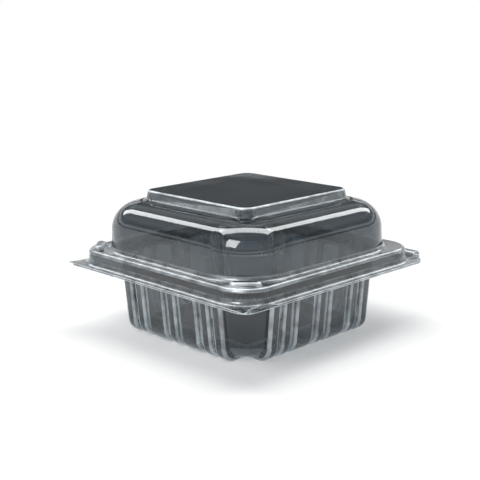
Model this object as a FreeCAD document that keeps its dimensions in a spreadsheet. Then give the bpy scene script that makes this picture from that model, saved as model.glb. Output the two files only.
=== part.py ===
# A hinged square food pack, thermoformed from one clear plastic sheet: a fluted tray,
# a domed lid that closes over it, and a folded bead along the back edge between them.
#
# Frame, in millimetres: +Z up, origin on the plane that the tray stands on, below the
# middle of the closed pack's plan. The opening side with its two ears faces -Y, and the
# hinge bead runs along X at +Y. The sheets are drawn about the tray's own middle, and the
# two finished halves are set forward from there by half of the bead's overhang.
#
# Each half is a thin sheet. It is made as a solid under the sheet's upper or outer face,
# less the same solid drawn in by the sheet's thickness, so both faces follow every size.

import FreeCAD
import Part
import Sketcher
import math
import os
import re

# Driving sizes, millimetres and degrees
SIZES = [
    # the sheet and how the two halves nest
    ("sheet_wall", 0.4),
    ("nest_gap", 0.35),
    # the rim that the lid's skirt and the tray's skirt share, measured on the lid's outside
    ("flange_level", 33.8),
    ("skirt_half", 60.4),
    ("skirt_corner", 15.4),
    ("skirt_rise", 7.2),
    ("skirt_draft", 3.0),
    ("flange_width", 3.3),
    ("flare_radius", 3.0),
    ("rim_edge_radius", 1.8),
    # flange corners: at the hinge, on the tray's tabs and at the tip of the lid's ears
    ("hinge_corner", 8.0),
    ("tab_corner", 6.5),
    ("ear_tip_radius", 1.2),
    # the hollow cut into each side edge of the lid's flange, which frees the tab below
    ("bite_radius", 16.0),
    ("bite_depth", 3.5),
    ("bite_setback", 10.2),
    # dome of the lid
    ("ledge_width", 5.4),
    ("dome_corner", 25.0),
    ("dome_draft", 3.0),
    ("dome_cove", 2.5),
    ("eaves_rise", 20.9),
    ("roof_slope", 12.0),
    ("shoulder_radius", 14.0),
    # raised panel on the roof: a shallow apron, then a steep side up to the flat top
    ("roof_width", 14.7),
    ("apron_corner", 14.0),
    ("apron_rise", 1.2),
    ("apron_slope", 22.0),
    ("apron_width", 4.3),
    ("crown_rise", 5.2),
    ("crown_corner", 6.0),
    ("crown_draft", 12.0),
    ("crown_edge_radius", 1.0),
    # snap bars on the ledge, across the two corners of the opening side
    ("snap_span", 9.0),
    ("snap_width", 5.0),
    ("snap_rise", 2.0),
    ("snap_edge_radius", 1.4),
    # tray: plain wall between the flutes, measured at the level of the rim's top
    ("rim_width", 9.4),
    ("tray_corner", 25.0),
    ("tray_draft", 5.5),
    ("ring_level", 1.8),
    ("ring_bend", 6.5),
    # flutes pressed outward from the wall, which turn under the floor as feet
    ("flute_depth", 1.6),
    ("flute_drop", 4.0),
    ("flute_bend", 8.0),
    ("flute_edge_radius", 1.5),
    ("narrow_flute", 6.4),
    ("wide_flute", 12.8),
    ("flute_space", 2.0),
    ("wide_arch_radius", 4.0),
    # raised floor panel inside the ring of feet
    ("foot_width", 15.0),
    ("panel_corner", 4.0),
    ("panel_level", 5.6),
    ("panel_draft", 10.0),
    ("panel_edge_radius", 1.2),
    # hinge bead: half a tube on each sheet, meeting at the outermost crease
    ("bead_half_length", 55.0),
    ("bead_radius", 2.9),
    ("crease_gap", 0.3),
    # the least rounding, and how far a form runs past the sheet where it is cut off again
    ("least_radius", 0.2),
    ("form_margin", 6.0),
]

# Half-sizes and levels that follow from the driving sizes, from the skirt inward and upward
FOLLOWING = {
    "flange_half": "skirt_half + flange_width",
    "dome_half": "skirt_half - ledge_width",
    "eaves_half": "dome_half - eaves_rise * tan(dome_draft)",
    "apron_half": "dome_half - roof_width",
    "crown_half": "apron_half - apron_width",
    "tray_half": "skirt_half - rim_width",
    "panel_half": "tray_half - foot_width",
    "rim_top": "flange_level + skirt_rise",
    "roof_top": "rim_top + eaves_rise + ( eaves_half - apron_half ) * tan(roof_slope)",
    "crown_level": "roof_top + crown_rise",
    "flute_top": "rim_top - flute_drop",
    # along the diagonal, the middle of the ledge between the corners of skirt and dome
    "ledge_reach": "( skirt_half + dome_half ) / sqrt(2)",
    "corners_short": "( sqrt(2) - 1 ) * ( skirt_corner + dome_corner ) / 2",
    "snap_reach": "ledge_reach - corners_short",
}

doc = FreeCAD.newDocument("hinged_pack")
sheet = doc.addObject("Spreadsheet::Sheet", "sizes")
for row, (alias, value) in enumerate(SIZES, start=1):
    sheet.set(f"A{row}", alias)
    sheet.set(f"B{row}", str(value))
    sheet.setAlias(f"B{row}", alias)
doc.recompute()

PLACES = {alias: f"sizes.{alias}" for alias, value in SIZES}
SIDES = 4
# Levels and corners closer than this are the same
CLOSE = 0.002
# Parts of a face's outward direction that still count as none, and that count as upward
LEANS_LITTLE = 0.01
LOOKS_UP = 0.3
# The flutes of one side from left to right, narrow and wide
FLUTE_ROW = "NNWNWNN"


def bound(text):
    """The expression text with every size's name pointed at the sheet."""

    def place(word):
        name = word.group()
        if name in FOLLOWING:
            return f"( {bound(FOLLOWING[name])} )"
        return PLACES.get(name, name)

    return re.sub(r"[a-z_]+", place, text)


def number(text):
    """The present value of an expression in the sheet's sizes."""
    value = sheet.evalExpression(bound(text))
    return float(getattr(value, "Value", value))


def lean(angle):
    """How far a face that leans by angle moves along its level, for one unit of inset."""
    return f"( 1 - sin({angle}) ) / cos({angle})"


def origin_plane(body, role):
    return next(o for o in body.Origin.OriginFeatures if o.Role == role)


def sketch_on(body, name, level):
    """An empty sketch of the body, parallel to its base plane at the given level."""
    sketch = body.newObject("Sketcher::SketchObject", name)
    sketch.AttachmentSupport = [(origin_plane(body, "XY_Plane"), "")]
    sketch.MapMode = "FlatFace"
    sketch.setExpression(".AttachmentOffset.Base.z", bound(level))
    return sketch


def bind(sketch, name, constraint, text):
    """Adds a constraint whose value follows the expression text."""
    index = sketch.addConstraint(constraint)
    sketch.renameConstraint(index, name)
    sketch.setExpression(f"Constraints.{name}", bound(text))


def rounded_outline(sketch, halves, corners):
    """Draws a rectangle with rounded corners about the origin.

    halves are the distances to the front, right, back and left side, and corners the
    radii at the end of each side, all as expressions.
    """
    front, right, back, left = (number(text) for text in halves)
    radii = [number(text) for text in corners]
    turns = [(right, -front), (right, back), (-left, back), (-left, -front)]
    centres = []
    for (x, y), radius in zip(turns, radii):
        centres.append((x - math.copysign(radius, x), y - math.copysign(radius, y)))
    for side in range(SIDES):
        start_angle = 90.0 * side - 90.0
        before, after = centres[side - 1], centres[side]
        away = FreeCAD.Vector(
            math.cos(math.radians(start_angle)), math.sin(math.radians(start_angle)), 0
        )
        start = FreeCAD.Vector(*before, 0) + away * radii[side - 1]
        end = FreeCAD.Vector(*after, 0) + away * radii[side]
        sketch.addGeometry(Part.LineSegment(start, end), False)
        circle = Part.Circle(FreeCAD.Vector(*after, 0), FreeCAD.Vector(0, 0, 1), radii[side])
        arc = Part.ArcOfCircle(
            circle, math.radians(start_angle), math.radians(start_angle + 90.0)
        )
        sketch.addGeometry(arc, False)
    for side in range(SIDES):
        line, arc, following = 2 * side, 2 * side + 1, (2 * side + 2) % (2 * SIDES)
        sketch.addConstraint(Sketcher.Constraint("Tangent", line, 2, arc, 1))
        sketch.addConstraint(Sketcher.Constraint("Tangent", arc, 2, following, 1))
        level_line = "Horizontal" if side % 2 == 0 else "Vertical"
        sketch.addConstraint(Sketcher.Constraint(level_line, line))
        radius = Sketcher.Constraint("Radius", arc, radii[side])
        bind(sketch, f"corner_{side}", radius, corners[side])
    origin = (-1, 1)
    for side, (kind, outward) in enumerate(
        [("DistanceY", False), ("DistanceX", True), ("DistanceY", True), ("DistanceX", False)]
    ):
        start = (2 * side, 1)
        ends = origin + start if outward else start + origin
        constraint = Sketcher.Constraint(kind, *ends, number(halves[side]))
        bind(sketch, f"side_{side}", constraint, halves[side])


def square_outline(sketch, half, corner):
    rounded_outline(sketch, [half] * SIDES, [corner] * SIDES)


def pad(body, sketch, name, length, draft="0", down=False):
    """Raises the sketch by length, drawing in by the draft angle on the way."""
    feature = body.newObject("PartDesign::Pad", name)
    feature.Profile = sketch
    feature.Reversed = down
    feature.setExpression("Length", bound(length))
    feature.setExpression("TaperAngle", bound(f"0 - {draft}"))
    doc.recompute()
    return feature


def loop_edges(shape, level, half):
    """Names of the edges of the rounded square of this half-size at this level."""
    names = []
    for index, edge in enumerate(shape.Edges, start=1):
        box = edge.BoundBox
        if box.ZLength > CLOSE or abs(box.ZMin - level) > CLOSE:
            continue
        reach = [max(abs(v.X), abs(v.Y)) for v in edge.Vertexes]
        if all(abs(r - half) < CLOSE for r in reach):
            names.append(f"Edge{index}")
    return names


def round_edges(body, base, name, edges, radius):
    """Rounds the named edges of the base feature to the radius."""
    if not edges:
        raise RuntimeError(f"{body.Name}: no edges found for {name}")
    feature = body.newObject("PartDesign::Fillet", name)
    feature.Base = (base, edges)
    feature.setExpression("Radius", bound(radius))
    doc.recompute()
    return feature


def new_body(name):
    body = doc.addObject("PartDesign::Body", name)
    doc.recompute()
    return body


# Depths of the four faces below the lid's outer face, from the top down
LID_OUTSIDE = "0"
LID_INSIDE = "sheet_wall"
TRAY_OUTSIDE = "( sheet_wall + nest_gap )"
TRAY_INSIDE = "( 2 * sheet_wall + nest_gap )"


def rim_form(body, inset):
    """Flange plate and skirt block, drawn in by inset. Returns the last feature."""
    plate = sketch_on(body, f"{body.Name}_plate_outline", "flange_level - form_margin")
    square_outline(plate, "flange_half + form_margin", "skirt_corner")
    pad(body, plate, f"{body.Name}_plate", f"form_margin - {inset}")

    skirt_half = f"skirt_half - {inset} * {lean('skirt_draft')}"
    skirt_corner = f"skirt_corner - {inset} * {lean('skirt_draft')}"
    skirt = sketch_on(body, f"{body.Name}_skirt_outline", f"flange_level - {inset}")
    square_outline(skirt, skirt_half, skirt_corner)
    block = pad(body, skirt, f"{body.Name}_skirt", "skirt_rise", "skirt_draft")

    top = number(f"rim_top - {inset}")
    top_half = number(f"{skirt_half} - skirt_rise * tan(skirt_draft)")
    foot = loop_edges(block.Shape, number(f"flange_level - {inset}"), number(skirt_half))
    flared = round_edges(body, block, f"{body.Name}_flare", foot, f"flare_radius + {inset}")
    edge = loop_edges(flared.Shape, top, top_half)
    edge_radius = f"max(rim_edge_radius - {inset}; least_radius)"
    return round_edges(body, flared, f"{body.Name}_rim_edge", edge, edge_radius)


def snap_bars(body, base, inset):
    """Adds the two rounded bars across the ledge's corners on the opening side."""
    sketch = sketch_on(body, f"{body.Name}_snap_outline", f"rim_top - {inset}")
    radius_text = f"snap_width / 2 - {inset}"
    radius = number(radius_text)
    diagonal = math.sqrt(0.5)
    first = 0
    for hand in (1, -1):
        centres = []
        for end in (-1, 1):
            across = f"( snap_reach + {end} * snap_span / 2 ) * {diagonal}"
            along = f"( snap_reach - {end} * snap_span / 2 ) * {diagonal}"
            centres.append((across, along))
        points = [
            FreeCAD.Vector(hand * number(across), -number(along), 0) for across, along in centres
        ]
        run = (points[1] - points[0]).normalize()
        side = FreeCAD.Vector(-run.y, run.x, 0) * radius
        turn = math.atan2(run.y, run.x)
        up = FreeCAD.Vector(0, 0, 1)
        sketch.addGeometry(Part.LineSegment(points[0] - side, points[1] - side), False)
        half_turn = math.pi / 2
        sketch.addGeometry(
            Part.ArcOfCircle(
                Part.Circle(points[1], up, radius), turn - half_turn, turn + half_turn
            ),
            False,
        )
        sketch.addGeometry(Part.LineSegment(points[1] + side, points[0] + side), False)
        sketch.addGeometry(
            Part.ArcOfCircle(
                Part.Circle(points[0], up, radius), turn + half_turn, turn + 3 * half_turn
            ),
            False,
        )
        for piece in range(4):
            one, other = first + piece, first + (piece + 1) % 4
            sketch.addConstraint(Sketcher.Constraint("Tangent", one, 2, other, 1))
        sketch.addConstraint(Sketcher.Constraint("Equal", first + 1, first + 3))
        bar = "right" if hand > 0 else "left"
        bind(sketch, f"{bar}_end", Sketcher.Constraint("Radius", first + 1, radius), radius_text)
        for arc, (across, along) in ((first + 3, centres[0]), (first + 1, centres[1])):
            centre, origin = (arc, 3), (-1, 1)
            ends = origin + centre if hand > 0 else centre + origin
            distance = Sketcher.Constraint("DistanceX", *ends, number(across))
            bind(sketch, f"{bar}_across_{arc}", distance, across)
            distance = Sketcher.Constraint("DistanceY", *centre, *origin, number(along))
            bind(sketch, f"{bar}_along_{arc}", distance, along)
        first += 4
    bars = pad(body, sketch, f"{body.Name}_snaps", "snap_rise")
    top = number(f"rim_top + snap_rise - {inset}")
    edges = []
    for index, edge in enumerate(bars.Shape.Edges, start=1):
        box = edge.BoundBox
        if box.ZLength < CLOSE and abs(box.ZMin - top) < CLOSE:
            edges.append(f"Edge{index}")
    edge_radius = f"max(snap_edge_radius - {inset}; least_radius)"
    return round_edges(body, bars, f"{body.Name}_snap_edge", edges, edge_radius)


def cover_form(name, inset):
    """The solid under one face of the lid's sheet: flange, skirt, ledge, dome and crown."""
    body = new_body(name)
    rim = rim_form(body, inset)
    snap_bars(body, rim, inset)

    ledge = f"rim_top - {inset}"
    wall_lean = lean("dome_draft")
    foot_half = f"( dome_half - {inset} * {wall_lean} )"
    wall_rise = f"( eaves_rise + {inset} - {inset} * {lean('roof_slope')} )"
    wall_outline = sketch_on(body, f"{name}_wall_outline", ledge)
    square_outline(wall_outline, foot_half, f"dome_corner - {inset} * {wall_lean}")
    pad(body, wall_outline, f"{name}_wall", wall_rise, "dome_draft")

    eaves = f"( {ledge} + {wall_rise} )"
    eaves_half = f"( {foot_half} - {wall_rise} * tan(dome_draft) )"
    drawn_in = f"( dome_half - {eaves_half} )"
    apron_half = f"( apron_half - {inset} )"
    roof_rise = f"( ( {eaves_half} - {apron_half} ) * tan(roof_slope) )"
    roof_outline = sketch_on(body, f"{name}_roof_outline", eaves)
    square_outline(roof_outline, eaves_half, f"dome_corner - {drawn_in}")
    pad(body, roof_outline, f"{name}_roof", roof_rise, "( 90 - roof_slope )")

    roof_top = f"( {eaves} + {roof_rise} )"
    apron_outline = sketch_on(body, f"{name}_apron_outline", roof_top)
    square_outline(apron_outline, apron_half, f"apron_corner - {inset}")
    pad(body, apron_outline, f"{name}_apron", "apron_rise", "( 90 - apron_slope )")

    crown_rise = f"( crown_level - {inset} - {roof_top} )"
    crown_half = f"( crown_half - {inset} * {lean('crown_draft')} + {crown_rise} * tan(crown_draft) )"
    crown_outline = sketch_on(body, f"{name}_crown_outline", roof_top)
    crown_corner = f"crown_corner - {inset} + {crown_rise} * tan(crown_draft)"
    square_outline(crown_outline, crown_half, crown_corner)
    crown = pad(body, crown_outline, f"{name}_crown", crown_rise, "crown_draft")

    top_half = number(f"{crown_half} - {crown_rise} * tan(crown_draft)")
    edges = loop_edges(crown.Shape, number(f"crown_level - {inset}"), top_half)
    edge_radius = f"max(crown_edge_radius - {inset}; least_radius)"
    rounded = round_edges(body, crown, f"{name}_crown_edge", edges, edge_radius)
    edges = loop_edges(rounded.Shape, number(eaves), number(eaves_half))
    rounded = round_edges(body, rounded, f"{name}_shoulder", edges, f"shoulder_radius - {inset}")
    edges = loop_edges(rounded.Shape, number(ledge), number(foot_half))
    return round_edges(body, rounded, f"{name}_cove", edges, f"dome_cove + {inset}")


def tray_rim_form(name, inset):
    """The solid under one face of the tray's flange, skirt, ledge and snap bars."""
    body = new_body(name)
    rim = rim_form(body, inset)
    return snap_bars(body, rim, inset)


def well_form(name, inset, top):
    """The tray's well down to the ring floor, drawn in by inset, from the level top."""
    body = new_body(name)
    half = f"( tray_half + ( {top} - rim_top ) * tan(tray_draft) - {inset} / cos(tray_draft) )"
    corner = f"( tray_corner + {half} - tray_half )"
    depth = f"( {top} - ring_level - {inset} )"
    outline = sketch_on(body, f"{name}_outline", top)
    square_outline(outline, half, corner)
    well = pad(body, outline, f"{name}_wall", depth, "tray_draft", down=True)
    bottom_half = number(f"{half} - {depth} * tan(tray_draft)")
    edges = loop_edges(well.Shape, number(f"ring_level + {inset}"), bottom_half)
    return round_edges(body, well, f"{name}_bend", edges, f"ring_bend - {inset}")


def panel_form(name, grow):
    """The block that lifts the middle of the floor, larger by grow on every face."""
    body = new_body(name)
    below = "0 - form_margin"
    half = f"panel_half + {grow} / cos(panel_draft) - ( {below} ) * tan(panel_draft)"
    outline = sketch_on(body, f"{name}_outline", below)
    square_outline(outline, half, f"panel_corner + {grow}")
    rise = f"( panel_level + {grow} - ( {below} ) )"
    block = pad(body, outline, f"{name}_block", rise, "panel_draft")
    top_half = number(f"{half} - {rise} * tan(panel_draft)")
    edges = loop_edges(block.Shape, number(f"panel_level + {grow}"), top_half)
    return round_edges(body, block, f"{name}_edge", edges, f"panel_edge_radius + {grow}")


def flute_bar(width, inset):
    """One flute as a solid bar in front of the -Y wall, centred on X = 0, drawn in by inset.

    Its side view is an L with the bend at the floor, its front view an arch, and every
    edge of its outer face is rounded.
    """
    size = {name: number(name) for name in [*PLACES, *FOLLOWING]}
    draft = math.radians(size["tray_draft"])
    rim_top = size["rim_top"]
    breadth = width - 2 * inset
    top = size["flute_top"] - inset
    root = size["panel_half"] - size["panel_level"]

    def crest(level):
        wall = size["tray_half"] - (rim_top - level) * math.tan(draft)
        return wall + size["flute_depth"] - inset / math.cos(draft)

    above = top + size["flute_depth"]
    side_view = [
        (-root, inset),
        (-crest(inset), inset),
        (-crest(above), above),
        (-root, above),
    ]
    points = [FreeCAD.Vector(-breadth / 2, y, z) for y, z in side_view]
    profile = Part.Face(Part.makePolygon(points + points[:1]))
    bar = profile.extrude(FreeCAD.Vector(breadth, 0, 0))

    arch_radius = min(breadth / 2, size["wide_arch_radius"] - inset)
    reach = crest(above) + size["flute_depth"]
    block = Part.makeBox(
        breadth, reach, top, FreeCAD.Vector(-breadth / 2, -reach, 0)
    )
    shoulders = [
        edge
        for edge in block.Edges
        if edge.BoundBox.YLength > reach / 2 and edge.BoundBox.ZMin > top / 2
    ]
    # two fillets of exactly half the breadth would leave no flat between them
    arch = block.makeFillet(min(arch_radius, breadth / 2 - CLOSE), shoulders)
    bar = bar.common(arch)

    bend = [
        edge
        for edge in bar.Edges
        if edge.BoundBox.XLength > breadth / 2
        and abs(edge.BoundBox.ZMax - inset) < CLOSE
        and edge.BoundBox.YMin < -root - CLOSE
    ]
    bar = bar.makeFillet(size["flute_bend"] - inset, bend)
    edge_radius = max(size["flute_edge_radius"] - inset, size["least_radius"])
    outer = []
    for face in bar.Faces:
        direction = face.normalAt(*middle(face))
        outward = abs(direction.x) < LEANS_LITTLE and direction.y < LEANS_LITTLE
        if not outward or direction.z > LOOKS_UP:
            continue
        outer += face.Edges
    rim = [edge for edge in outer if sum(edge.isSame(other) for other in outer) == 1]
    rim = [edge for edge in rim if edge.BoundBox.YMin < -root - CLOSE]
    return bar.makeFillet(edge_radius, rim)


def middle(face):
    """The middle of a face's two parameters."""
    low_u, high_u, low_v, high_v = face.ParameterRange
    return (low_u + high_u) / 2, (low_v + high_v) / 2


def flute_set(name, inset_text, walls):
    """All the flutes of two facing walls, as separate bars that don't meet."""
    inset = number(inset_text)
    widths = {"N": number("narrow_flute"), "W": number("wide_flute")}
    space = number("flute_space")
    bars = {kind: flute_bar(width, inset) for kind, width in widths.items()}
    total = sum(widths[kind] + space for kind in FLUTE_ROW)
    placed = []
    start = -total / 2
    for kind in FLUTE_ROW:
        pitch = widths[kind] + space
        for wall in walls:
            bar = bars[kind].copy()
            bar.translate(FreeCAD.Vector(start + pitch / 2, 0, 0))
            bar.rotate(FreeCAD.Vector(0, 0, 0), FreeCAD.Vector(0, 0, 1), 90.0 * wall)
            placed.append(bar)
        start += pitch
    flutes = doc.addObject("Part::Feature", name)
    flutes.Shape = Part.makeCompound(placed)
    flutes.Placement = FreeCAD.Placement()
    return flutes


def fluted_well(name, well, inset):
    """The well with the flutes of all four walls, drawn in by the same inset."""
    front_and_back = flute_set(f"{name}_front_back", inset, walls=(0, 2))
    left_and_right = flute_set(f"{name}_left_right", inset, walls=(1, 3))
    return fuse(name, [well, front_and_back, left_and_right])


def outline_form(name, front_corner, with_bites):
    """The flange's outline in plan, as a block from below the flange to above the crown."""
    body = new_body(name)
    low = "( flange_level - form_margin )"
    outline = sketch_on(body, f"{name}_outline", low)
    rounded_outline(
        outline,
        ["flange_half"] * SIDES,
        [front_corner, "hinge_corner", "hinge_corner", front_corner],
    )
    feature = pad(body, outline, f"{name}_block", f"crown_level + form_margin - {low}")
    if with_bites:
        bites = sketch_on(body, f"{name}_bite_outline", low)
        up = FreeCAD.Vector(0, 0, 1)
        across_text = "flange_half - bite_depth + bite_radius"
        along_text = "flange_half - bite_setback"
        across, along, radius = number(across_text), number(along_text), number("bite_radius")
        for index, hand in enumerate((1, -1)):
            centre = FreeCAD.Vector(hand * across, -along, 0)
            bites.addGeometry(Part.Circle(centre, up, radius), False)
            bite = f"bite_{index}"
            bind(
                bites, f"{bite}_radius", Sketcher.Constraint("Radius", index, radius), "bite_radius"
            )
            middle_point, origin = (index, 3), (-1, 1)
            ends = origin + middle_point if hand > 0 else middle_point + origin
            bind(
                bites,
                f"{bite}_across",
                Sketcher.Constraint("DistanceX", *ends, across),
                across_text,
            )
            bind(
                bites,
                f"{bite}_along",
                Sketcher.Constraint("DistanceY", *middle_point, *origin, along),
                along_text,
            )
        cut = body.newObject("PartDesign::Pocket", f"{name}_bites")
        cut.Profile = bites
        cut.Type = "ThroughAll"
        cut.Reversed = True
        doc.recompute()
        if cut.Shape.Volume > feature.Shape.Volume - 1:
            raise RuntimeError("the bites cut nothing from the flange")
        feature = cut
    return feature


def bead_half(name, above):
    """Half of the hinge bead's tube wall, above or below the crease."""
    crease_level = "( flange_level - sheet_wall - nest_gap / 2 )"
    middle_y = "( flange_half - sheet_wall / 2 + bead_radius )"
    start_x = "0 - bead_half_length"
    solids = []
    for part, radius in (("tube", "bead_radius"), ("hollow", "bead_radius - sheet_wall")):
        cylinder = doc.addObject("Part::Cylinder", f"{name}_{part}")
        cylinder.setExpression("Radius", bound(radius))
        cylinder.setExpression("Height", bound("2 * bead_half_length"))
        along_x = FreeCAD.Rotation(FreeCAD.Vector(0, 1, 0), 90)
        cylinder.Placement = FreeCAD.Placement(FreeCAD.Vector(0, 0, 0), along_x)
        cylinder.setExpression(".Placement.Base.x", bound(start_x))
        cylinder.setExpression(".Placement.Base.y", bound(middle_y))
        cylinder.setExpression(".Placement.Base.z", bound(crease_level))
        solids.append(cylinder)
    tube = doc.addObject("Part::Cut", f"{name}_wall")
    tube.Base, tube.Tool = solids
    keep = doc.addObject("Part::Box", f"{name}_half")
    keep.setExpression("Length", bound("2 * bead_half_length"))
    keep.setExpression("Width", bound("2 * bead_radius"))
    keep.setExpression("Height", bound("bead_radius"))
    keep.setExpression(".Placement.Base.x", bound(start_x))
    keep.setExpression(".Placement.Base.y", bound(f"{middle_y} - bead_radius"))
    level = "crease_gap / 2" if above else "0 - crease_gap / 2 - bead_radius"
    keep.setExpression(".Placement.Base.z", bound(f"{crease_level} + {level}"))
    half = doc.addObject("Part::MultiCommon", name)
    half.Shapes = [tube, keep]
    doc.recompute()
    return half


def cut(name, base, tool):
    feature = doc.addObject("Part::Cut", name)
    feature.Base, feature.Tool = base, tool
    doc.recompute()
    return feature


def fuse(name, shapes, refine=True):
    feature = doc.addObject("Part::MultiFuse", name)
    feature.Shapes = shapes
    feature.Refine = refine
    doc.recompute()
    return feature


def common(name, shapes):
    feature = doc.addObject("Part::MultiCommon", name)
    feature.Shapes = shapes
    doc.recompute()
    return feature


def set_forward(half):
    """Moves a finished half so that the origin is below the middle of the pack's plan."""
    half.setExpression(".Placement.Base.y", bound("sheet_wall / 4 - bead_radius"))
    doc.recompute()
    return half


def make_lid():
    """The lid: one sheet from its ears and flange up to the crown, with its half bead."""
    cover_form("cover_outside", LID_OUTSIDE)
    cover_form("cover_inside", LID_INSIDE)
    outline_form("lid_outline", "ear_tip_radius", with_bites=True)
    skin = cut("lid_skin", doc.cover_outside, doc.cover_inside)
    trimmed = common("lid_trimmed", [skin, doc.lid_outline])
    bead = bead_half("lid_bead", above=True)
    return set_forward(fuse("lid", [trimmed, bead]))


def make_base_tray():
    """The tray: one sheet from its flange over the rim and down to the fluted floor."""
    tray_rim_form("tray_rim_outside", TRAY_OUTSIDE)
    tray_rim_form("tray_rim_inside", TRAY_INSIDE)
    outline_form("tray_outline", "tab_corner", with_bites=False)
    rim_skin = cut("tray_rim_skin", doc.tray_rim_outside, doc.tray_rim_inside)
    trimmed = common("tray_rim_trimmed", [rim_skin, doc.tray_outline])

    ledge = f"( rim_top - {TRAY_OUTSIDE} )"
    well_form("well_outside", "0", ledge)
    well_form("well_inside", "sheet_wall", "rim_top")
    panel_form("panel_outside", "0")
    panel_form("panel_inside", "sheet_wall")
    outside = fluted_well("fluted_outside", doc.well_outside, "0")
    inside = fluted_well("fluted_inside", doc.well_inside, "sheet_wall")
    outside = cut("floor_outside", outside, doc.panel_outside)
    inside = cut("floor_inside", inside, doc.panel_inside)
    whole = fuse("tray_solid", [trimmed, outside, bead_half("tray_bead", above=False)])
    return set_forward(cut("base_tray", whole, inside))


def check_and_write(nodes):
    """Stops on any failed object, then writes one STEP file per node."""
    doc.recompute()
    for item in doc.Objects:
        if {"Invalid", "Error"} & set(item.State):
            raise RuntimeError(f"{item.Name} is {item.State}")
    os.makedirs("parts", exist_ok=True)
    for node in nodes:
        shape = node.Shape
        if shape.isNull() or not shape.isValid():
            raise RuntimeError(f"{node.Label} has no valid shape")
        if len(shape.Solids) != 1:
            raise RuntimeError(f"{node.Label} has {len(shape.Solids)} solids")
        box = shape.BoundBox
        print(node.Label, round(shape.Volume, 1), "mm3", box)
        shape.exportStep(f"parts/{node.Label}.step")


check_and_write([make_base_tray(), make_lid()])
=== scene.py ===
# A hinged clear food pack, thermoformed from one sheet with a grey tint of painted shade, on a
# pale studio floor.
import math

import bpy
from mathutils import Matrix, Vector

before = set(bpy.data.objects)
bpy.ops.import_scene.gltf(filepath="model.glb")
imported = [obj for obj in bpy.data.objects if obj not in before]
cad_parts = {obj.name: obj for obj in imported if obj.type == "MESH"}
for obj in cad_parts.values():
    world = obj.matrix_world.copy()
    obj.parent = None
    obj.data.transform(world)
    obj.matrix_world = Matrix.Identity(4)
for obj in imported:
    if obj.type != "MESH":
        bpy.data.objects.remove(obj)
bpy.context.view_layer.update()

MM = 0.001
WHITE = "#ffffff"


def linear(code):
    """An sRGB hex colour as linear RGBA."""
    channels = [int(code[start : start + 2], 16) / 255 for start in (1, 3, 5)]
    curve = [c / 12.92 if c <= 0.04045 else ((c + 0.055) / 1.055) ** 2.4 for c in channels]
    return (*curve, 1.0)


def node(tree, kind, settings=None, **links):
    """Adds a node with its properties, sockets and links; inputs go by name or by number."""
    made = tree.nodes.new(kind)
    for name, value in (settings or {}).items():
        if isinstance(name, str) and hasattr(made, name):
            setattr(made, name, value)
        else:
            made.inputs[name].default_value = value
    for name, source in links.items():
        socket = made.inputs[int(name[1:])] if name[1:].isdigit() else made.inputs[name]
        tree.links.new(source, socket)
    return made


def new_material(name):
    material = bpy.data.materials.new(name)
    material.use_nodes = True
    material.node_tree.nodes.clear()
    return material, material.node_tree


# The sheet

# the colour that white light keeps after it has crossed the sheet once; its grey is painted
# shade, standing in for dark surroundings seen through the clear sheet
PAINTED_SHADE_TINT = "#7e868b"
PET_IOR = 1.575
SHEET_ROUGHNESS = 0.03
# the gentle waves left where the hot sheet was drawn down, and the fine ripple on top of them
WAVE_LENGTH = 26 * MM
WAVE_HEIGHT = 0.06 * MM
RIPPLE_LENGTH = 5 * MM
RIPPLE_HEIGHT = 0.006 * MM
# painted highlight: the sheet turns white and hazy at its bends, brightest where it bends round
# the first radius, and clear beyond the second
HIGHLIGHT_FULL_BEND = 1 * MM
HIGHLIGHT_GONE_BEND = 9 * MM
# below 1, gentle bends get more of the painted highlight
BEND_CURVE = 0.85
# the colour of the painted highlight
BEND_HIGHLIGHT_TONE = "#f2f5f7"
BEND_ROUGHNESS = 0.4
# this share of the painted highlight at a bend is light that comes through it
LIT_FROM_BEHIND = 0.55
# the painted highlight comes and goes along a bend at this length, between these two shares
PATCH_LENGTH = 7 * MM
PATCH_HIGHLIGHT = (0.4, 0.95)
# the noise that makes the patches mostly lies between these values
PATCH_NOISE = (0.35, 0.65)

# How the mesh is measured for that

# vertices nearer than this are one point of the sheet
SEAM = 0.002 * MM
# a crease between these angles is a sharp corner of the form, and gets no painted highlight
# beside it;
# a sharper one is the cut edge of the sheet, and does
CORNER_FROM = math.radians(18)
CORNER_TO = math.radians(75)
# each face takes this many steps towards its neighbours, up to this many times its own value
EVENING_STEPS = 6
MOST_RISE = 2.0
TRIANGLE_SIDES = 3


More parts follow.
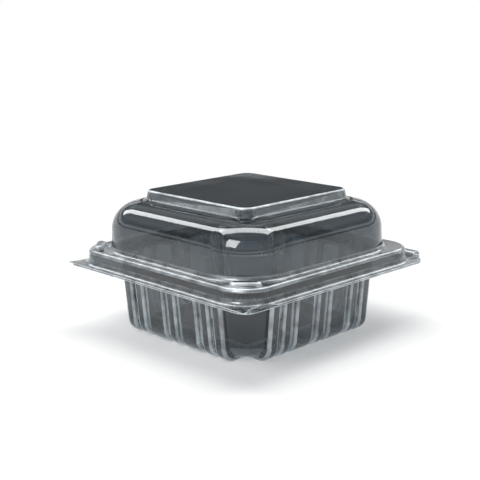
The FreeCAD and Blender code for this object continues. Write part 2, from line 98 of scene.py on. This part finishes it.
def bend_measure():
    """Geometry nodes that store how tightly each face of the sheet bends, as 1 / radius."""
    group = bpy.data.node_groups.new("bend_measure", "GeometryNodeTree")
    group.interface.new_socket("Sheet", in_out="INPUT", socket_type="NodeSocketGeometry")
    group.interface.new_socket("Sheet", in_out="OUTPUT", socket_type="NodeSocketGeometry")
    sheet_in = node(group, "NodeGroupInput").outputs[0]
    joined = node(
        group, "GeometryNodeMergeByDistance", {"Distance": SEAM}, Geometry=sheet_in
    ).outputs["Geometry"]
    turn = node(group, "GeometryNodeInputMeshEdgeAngle").outputs["Unsigned Angle"]
    ends = node(group, "GeometryNodeInputMeshEdgeVertices")
    length = node(
        group,
        "ShaderNodeVectorMath",
        {"operation": "DISTANCE"},
        _0=ends.outputs["Position 1"],
        _1=ends.outputs["Position 2"],
    ).outputs["Value"]
    gentle = node(
        group, "ShaderNodeMath", {"operation": "LESS_THAN", 1: CORNER_FROM}, _0=turn
    ).outputs["Value"]
    cut_edge = node(
        group, "ShaderNodeMath", {"operation": "GREATER_THAN", 1: CORNER_TO}, _0=turn
    ).outputs["Value"]
    counted = node(
        group, "ShaderNodeMath", {"operation": "ADD"}, _0=gentle, _1=cut_edge
    ).outputs["Value"]
    turn = node(
        group, "ShaderNodeMath", {"operation": "MULTIPLY"}, _0=turn, _1=counted
    ).outputs["Value"]
    turned = node(group, "ShaderNodeMath", {"operation": "MULTIPLY"}, _0=turn, _1=length)
    turned = node(
        group,
        "GeometryNodeFieldOnDomain",
        {"domain": "EDGE", "data_type": "FLOAT"},
        Value=turned.outputs["Value"],
    ).outputs["Value"]
    area = node(group, "GeometryNodeInputMeshFaceArea").outputs["Area"]
    tightness = node(group, "ShaderNodeMath", {"operation": "DIVIDE"}, _0=turned, _1=area)
    # a face gets the mean of its edges; their sum is wanted, and each edge has two faces
    tightness = node(
        group,
        "ShaderNodeMath",
        {"operation": "MULTIPLY", 1: TRIANGLE_SIDES / 2},
        _0=tightness.outputs["Value"],
    )
    tightness = node(
        group,
        "GeometryNodeFieldOnDomain",
        {"domain": "FACE", "data_type": "FLOAT"},
        Value=tightness.outputs["Value"],
    ).outputs["Value"]
    evened = node(
        group,
        "GeometryNodeBlurAttribute",
        {"data_type": "FLOAT", "Iterations": EVENING_STEPS},
        Value=tightness,
    ).outputs["Value"]
    most = node(
        group, "ShaderNodeMath", {"operation": "MULTIPLY", 1: MOST_RISE}, _0=tightness
    ).outputs["Value"]
    tightness = node(
        group, "ShaderNodeMath", {"operation": "MINIMUM"}, _0=evened, _1=most
    ).outputs["Value"]
    found = node(
        group,
        "GeometryNodeSampleNearestSurface",
        {"data_type": "FLOAT"},
        Mesh=joined,
        Value=tightness,
    ).outputs["Value"]
    stored = node(
        group,
        "GeometryNodeStoreNamedAttribute",
        {"domain": "FACE", "data_type": "FLOAT", "Name": "tightness"},
        Geometry=sheet_in,
        Value=found,
    )
    node(group, "NodeGroupOutput", {}, _0=stored.outputs["Geometry"])
    return group


def thermoformed_pet(name):
    """PET sheet, vacuum formed: clear and glossy, with a grey tint of painted shade, soft waves
    in what it mirrors, and a painted highlight, white and hazy, where it bends tightly."""
    material, tree = new_material(name)
    place = node(tree, "ShaderNodeTexCoord")
    waves = node(
        tree,
        "ShaderNodeTexNoise",
        {"Scale": 1 / WAVE_LENGTH, "Detail": 1.0, "Roughness": 0.4},
        Vector=place.outputs["Object"],
    )
    wave_bump = node(
        tree,
        "ShaderNodeBump",
        {"Strength": 1.0, "Distance": WAVE_HEIGHT},
        Height=waves.outputs["Fac"],
    )
    ripple = node(
        tree,
        "ShaderNodeTexNoise",
        {"Scale": 1 / RIPPLE_LENGTH, "Detail": 2.0, "Roughness": 0.5},
        Vector=place.outputs["Object"],
    )
    ripple_bump = node(
        tree,
        "ShaderNodeBump",
        {"Strength": 1.0, "Distance": RIPPLE_HEIGHT},
        Height=ripple.outputs["Fac"],
        Normal=wave_bump.outputs["Normal"],
    )
    tightness = node(
        tree,
        "ShaderNodeAttribute",
        {"attribute_type": "GEOMETRY", "attribute_name": "tightness"},
    )
    # painted highlight: the bend measure turns the sheet white along tight bends, as white gloss
    # and white light coming through
    painted_highlight = node(
        tree,
        "ShaderNodeMapRange",
        {"From Min": 1 / HIGHLIGHT_GONE_BEND, "From Max": 1 / HIGHLIGHT_FULL_BEND},
        Value=tightness.outputs["Fac"],
    )
    painted_highlight = node(
        tree,
        "ShaderNodeMath",
        {"operation": "POWER", 1: BEND_CURVE},
        _0=painted_highlight.outputs["Result"],
    )
    patches = node(
        tree,
        "ShaderNodeTexNoise",
        {"Scale": 1 / PATCH_LENGTH, "Detail": 3.0},
        Vector=place.outputs["Object"],
    )
    patchiness = node(
        tree,
        "ShaderNodeMapRange",
        {
            "From Min": PATCH_NOISE[0],
            "From Max": PATCH_NOISE[1],
            "To Min": PATCH_HIGHLIGHT[0],
            "To Max": PATCH_HIGHLIGHT[1],
        },
        Value=patches.outputs["Fac"],
    )
    painted_highlight = node(
        tree,
        "ShaderNodeMath",
        {"operation": "MULTIPLY"},
        _0=painted_highlight.outputs["Value"],
        _1=patchiness.outputs["Result"],
    )
    # the clear sheet takes the grey tint of painted shade as its colour
    plastic = node(
        tree,
        "ShaderNodeBsdfPrincipled",
        {
            "Base Color": linear(PAINTED_SHADE_TINT),
            "Roughness": SHEET_ROUGHNESS,
            "IOR": PET_IOR,
            "Transmission Weight": 1.0,
        },
        Normal=ripple_bump.outputs["Normal"],
    )
    facing_light = node(
        tree,
        "ShaderNodeBsdfGlossy",
        {"Color": linear(BEND_HIGHLIGHT_TONE), "Roughness": BEND_ROUGHNESS},
    )
    lit_from_behind = node(tree, "ShaderNodeBsdfTranslucent", {"Color": linear(BEND_HIGHLIGHT_TONE)})
    white = node(
        tree,
        "ShaderNodeMixShader",
        {"Fac": LIT_FROM_BEHIND},
        _1=facing_light.outputs["BSDF"],
        _2=lit_from_behind.outputs["BSDF"],
    )
    # the painted highlight is laid over the clear sheet where the bends are tight
    body = node(
        tree,
        "ShaderNodeMixShader",
        {},
        Fac=painted_highlight.outputs["Value"],
        _1=plastic.outputs["BSDF"],
        _2=white.outputs["Shader"],
    )
    # light on its way through crosses both faces of the sheet, so each takes the tint's root
    one_face = tuple(math.sqrt(channel) for channel in linear(PAINTED_SHADE_TINT))
    clear_shadow = node(tree, "ShaderNodeBsdfTransparent", {"Color": one_face})
    rays = node(tree, "ShaderNodeLightPath")
    mixed = node(
        tree,
        "ShaderNodeMixShader",
        {},
        Fac=rays.outputs["Is Shadow Ray"],
        _1=body.outputs["Shader"],
        _2=clear_shadow.outputs["BSDF"],
    )
    node(tree, "ShaderNodeOutputMaterial", {}, Surface=mixed.outputs["Shader"])
    return material


# The studio

FLOOR_RADIUS = 6.0
FLOOR_SIDES = 64
# the paper lies this far under the feet, so that the two don't share a plane
FLOOR_DROP = 0.02 * MM
# the paper's white is part what it scatters and part its own glow
PAPER_DIFFUSE = "#bcbcbc"
PAPER_GLOW = 0.3
# the paper takes shadows out to here, and is plain white from there
SHADOW_REACH = 0.12
WHITE_FROM = 0.55
# degrees above the horizon: as white as the paper up to the first, and dark from the second,
# so that the flat roof panel mirrors dark
HORIZON_TOP = 8.9
CEILING_START = 9.5
CEILING = "#585858"
# a white band runs round the room at these elevations, and shows along ledges and bends
BAND_START = 13.5
BAND_END = 18.5
BAND_FADE = 1.0
# a soft grey glow higher up, which the dome's roof mirrors
GLOW_START = 24
GLOW_FULL = 32
GLOW_END = 55
GLOW = "#b4b4b4"
# enough for light to cross every face of the nested sheets, and for shadows to do so
BOUNCES = 32
SHADOW_CROSSINGS = 48


def studio_paper():
    """Matt white paper. Part of its white is its own, so the pack's shadow stays soft."""
    material, tree = new_material("studio_paper")
    matt = node(tree, "ShaderNodeBsdfDiffuse", {"Color": linear(PAPER_DIFFUSE)})
    glow = node(
        tree, "ShaderNodeEmission", {"Color": linear(WHITE), "Strength": PAPER_GLOW}
    )
    near = node(
        tree, "ShaderNodeAddShader", {}, _0=matt.outputs["BSDF"], _1=glow.outputs["Emission"]
    )
    far = node(tree, "ShaderNodeEmission", {"Color": linear(WHITE), "Strength": 1.0})
    place = node(tree, "ShaderNodeTexCoord")
    reach = node(
        tree,
        "ShaderNodeVectorMath",
        {"operation": "LENGTH"},
        _0=place.outputs["Object"],
    )
    farness = node(
        tree,
        "ShaderNodeMapRange",
        {"interpolation_type": "SMOOTHSTEP", "From Min": SHADOW_REACH, "From Max": WHITE_FROM},
        Value=reach.outputs["Value"],
    )
    whole = node(
        tree,
        "ShaderNodeMixShader",
        {},
        Fac=farness.outputs["Result"],
        _1=near.outputs["Shader"],
        _2=far.outputs["Emission"],
    )
    node(tree, "ShaderNodeOutputMaterial", {}, Surface=whole.outputs["Shader"])
    return material


def paper_floor():
    mesh = bpy.data.meshes.new("floor")
    turns = [2 * math.pi * side / FLOOR_SIDES for side in range(FLOOR_SIDES)]
    rim = [(FLOOR_RADIUS * math.cos(turn), FLOOR_RADIUS * math.sin(turn), 0.0) for turn in turns]
    mesh.from_pydata(rim, [], [tuple(range(FLOOR_SIDES))])
    mesh.materials.append(studio_paper())
    floor = bpy.data.objects.new("floor", mesh)
    bpy.context.scene.collection.objects.link(floor)
    floor.location.z = -FLOOR_DROP


def room():
    """White round the horizon and dark above with two bright rings, for every kind of ray."""
    world = bpy.data.worlds.new("room")
    bpy.context.scene.world = world
    world.use_nodes = True
    tree = world.node_tree
    toward = node(tree, "ShaderNodeTexCoord")
    height = node(tree, "ShaderNodeSeparateXYZ", {}, Vector=toward.outputs["Generated"])
    shade = node(tree, "ShaderNodeValToRGB", {}, Fac=height.outputs["Z"])
    stops = [
        (HORIZON_TOP, WHITE),
        (CEILING_START, CEILING),
        (BAND_START - BAND_FADE, CEILING),
        (BAND_START, WHITE),
        (BAND_END, WHITE),
        (BAND_END + BAND_FADE, CEILING),
        (GLOW_START, CEILING),
        (GLOW_FULL, GLOW),
        (GLOW_END, CEILING),
    ]
    ramp = shade.color_ramp.elements
    for _ in stops[2:]:
        ramp.new(1.0)
    for stop, (elevation, colour) in zip(ramp, stops):
        stop.position = math.sin(math.radians(elevation))
        stop.color = linear(colour)
    tree.links.new(shade.outputs["Color"], tree.nodes["Background"].inputs["Color"])


def softbox(name, azimuth, elevation, distance, size, watts):
    """A rectangular softbox that faces the pack; azimuth 0 is in front of the opening side."""
    lamp = bpy.data.lights.new(name, "AREA")
    lamp.shape = "RECTANGLE"
    lamp.size, lamp.size_y = size
    lamp.energy = watts
    box = bpy.data.objects.new(name, lamp)
    bpy.context.scene.collection.objects.link(box)
    around, up = math.radians(azimuth), math.radians(elevation)
    away = Vector(
        (math.sin(around) * math.cos(up), -math.cos(around) * math.cos(up), math.sin(up))
    )
    box.location = away * distance
    box.rotation_euler = away.to_track_quat("Z", "Y").to_euler()


def studio():
    paper_floor()
    room()
    # the band of light round the dome's front shoulder
    softbox("top_box", azimuth=225, elevation=76, distance=1.3, size=(1.6, 0.5), watts=18)
    # the lines along its two side shoulders
    softbox("left_strip", azimuth=273, elevation=43, distance=1.2, size=(0.26, 0.7), watts=3.5)
    softbox("right_strip", azimuth=179, elevation=43, distance=1.2, size=(0.26, 0.7), watts=3.5)
    # the small bright window below that shoulder
    softbox("window", azimuth=10, elevation=45, distance=1.4, size=(0.55, 0.65), watts=10)
    limits = bpy.context.scene.cycles
    limits.max_bounces = BOUNCES
    limits.transmission_bounces = BOUNCES
    limits.transparent_max_bounces = SHADOW_CROSSINGS


# The camera

CAMERA_AZIMUTH = 45.9
CAMERA_ELEVATION = 13.2
CAMERA_ROLL = -0.6
CAMERA_DISTANCE = 500 * MM
# the point that the camera looks at, to the right and above the middle of the tray
AIM_HEIGHT = 30 * MM
AIM_RIGHT = -3.3 * MM
AIM_UP = 13.7 * MM
# millimetres, as a camera's maker gives them
LENS = 74.8
SENSOR = 36.0
NEAREST_SEEN = 0.02
FURTHEST_SEEN = 20.0
# the tray stands this far in front of the middle of the pack's plan
TRAY_FORWARD = 2.8 * MM


def camera():
    """Looks at the corner between the opening side and the +X side, from slightly above."""
    around, up = math.radians(CAMERA_AZIMUTH), math.radians(CAMERA_ELEVATION)
    back = Vector(
        (math.sin(around) * math.cos(up), -math.cos(around) * math.cos(up), math.sin(up))
    )
    right = Vector((math.cos(around), math.sin(around), 0.0))
    above = back.cross(right)
    data = bpy.data.cameras.new("camera")
    data.lens = LENS
    data.sensor_width = SENSOR
    data.clip_start = NEAREST_SEEN
    data.clip_end = FURTHEST_SEEN
    eye = bpy.data.objects.new("camera", data)
    bpy.context.scene.collection.objects.link(eye)
    middle = Vector((0.0, -TRAY_FORWARD, AIM_HEIGHT))
    eye.location = middle + back * CAMERA_DISTANCE + right * AIM_RIGHT + above * AIM_UP
    turn = back.to_track_quat("Z", "Y").to_matrix().to_4x4()
    roll = math.radians(CAMERA_ROLL)
    eye.rotation_euler = (turn @ Matrix.Rotation(roll, 4, "Z")).to_euler()
    bpy.context.scene.camera = eye


sheet = thermoformed_pet("thermoformed_pet")
measured = bend_measure()
for name in ("base_tray", "lid"):
    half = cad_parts[name]
    for place in half.material_slots:
        place.material = sheet
    measure = half.modifiers.new("bend_measure", "NODES")
    measure.node_group = measured

studio()
camera()
bpy.context.scene.view_settings.view_transform = "Standard"
